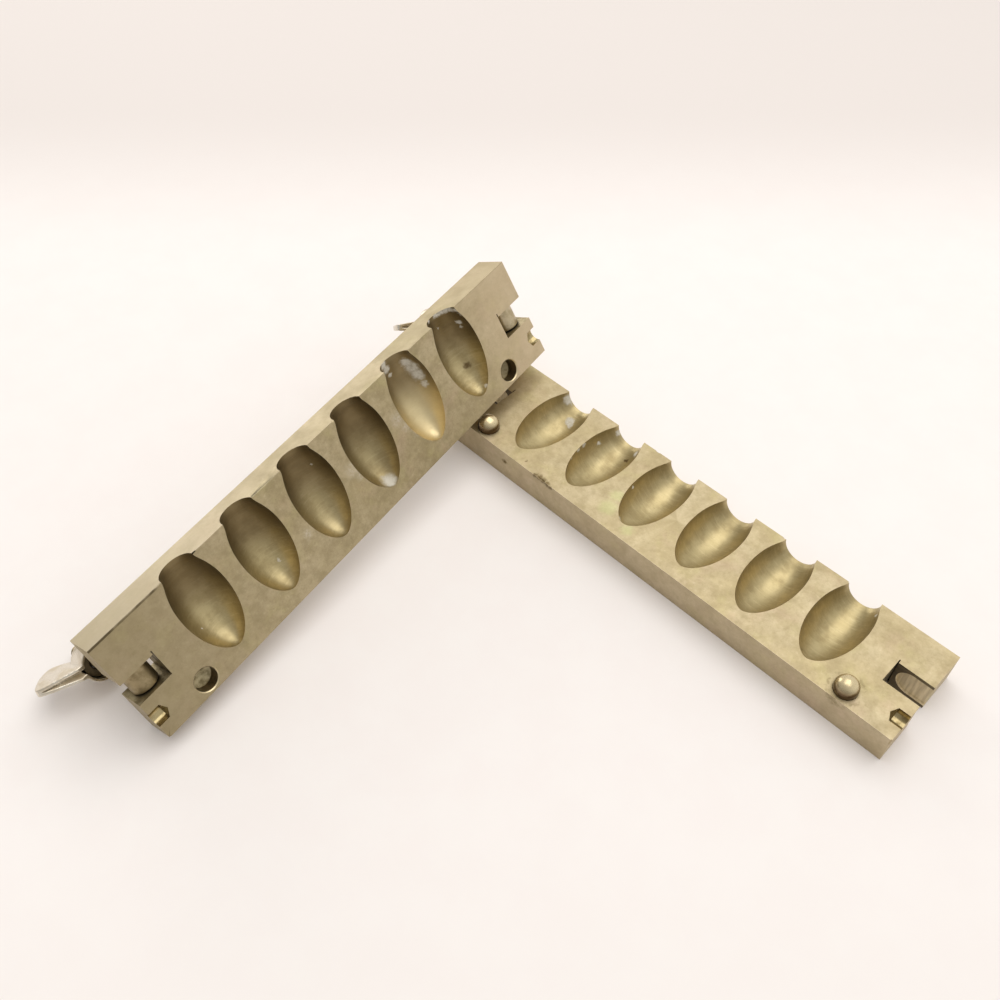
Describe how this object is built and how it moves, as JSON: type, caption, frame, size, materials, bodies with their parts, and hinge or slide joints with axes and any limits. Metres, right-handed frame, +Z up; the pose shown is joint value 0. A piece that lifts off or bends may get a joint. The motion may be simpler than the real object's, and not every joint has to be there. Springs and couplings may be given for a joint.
{
  "type": "suppository mould",
  "caption": "Two-part brass suppository mould, taken apart: a notched bar with egg-shaped half cavities lies flat, and its mate with hinged clamping bolts leans across it.",
  "frame": {"origin": "centre of the flat back face of the half that lies down, on the ground", "axes": "+X along that half, +Y towards its pouring edge, +Z up out of its joint face"},
  "size_m": [0.2045, 0.187, 0.0507],
  "materials": {
    "light_brass": "dull, aged, hand-worn faces",
    "dark_brass": "dull olive patina",
    "bright_brass": "turned, slightly tarnished",
    "nickel_plate": "satin nickel plate on pressed sheet"
  },
  "bodies": {
    "half_b": {"half_b_block": "light_brass", "dowel_pin_left": "bright_brass", "dowel_pin_right": "bright_brass"},
    "half_a": {"half_a_block": "dark_brass", "cross_pin_left": "bright_brass", "cross_pin_right": "bright_brass"},
    "bolt_left": {"swing_bolt_left": "bright_brass"},
    "bolt_right": {"swing_bolt_right": "bright_brass"},
    "nut_left": {"wing_shell_left": "nickel_plate", "threaded_bush_left": "bright_brass"},
    "nut_right": {"wing_shell_right": "nickel_plate", "threaded_bush_right": "bright_brass"}
  },
  "joints": [
    {"name": "lift_half_a", "type": "slide", "parent": "half_b", "child": "half_a", "axis": [0, 0, 1], "range_m": [0, 0.06]},
    {"name": "swing_left", "type": "hinge", "parent": "half_a", "child": "bolt_left", "pos_m": [-0.06538, -0.14579, 0.01852], "axis": [-0.4494, -0.1362, 0.8829], "range_deg": [-33, 201]},
    {"name": "swing_right", "type": "hinge", "parent": "half_a", "child": "bolt_right", "pos_m": [-0.08603, 0.01107, 0.0322], "axis": [0.4494, 0.1362, -0.8829], "range_deg": [-16, 217]},
    {"name": "turn_nut_left", "type": "hinge", "parent": "bolt_left", "child": "nut_left", "pos_m": [-0.08191, -0.14921, 0.00958], "axis": [-0.8654, -0.1789, -0.4681], "continuous": true},
    {"name": "turn_nut_right", "type": "hinge", "parent": "bolt_right", "child": "nut_right", "pos_m": [-0.10758, 0.00454, 0.02022], "axis": [-0.845, -0.256, -0.4695], "continuous": true}
  ]
}
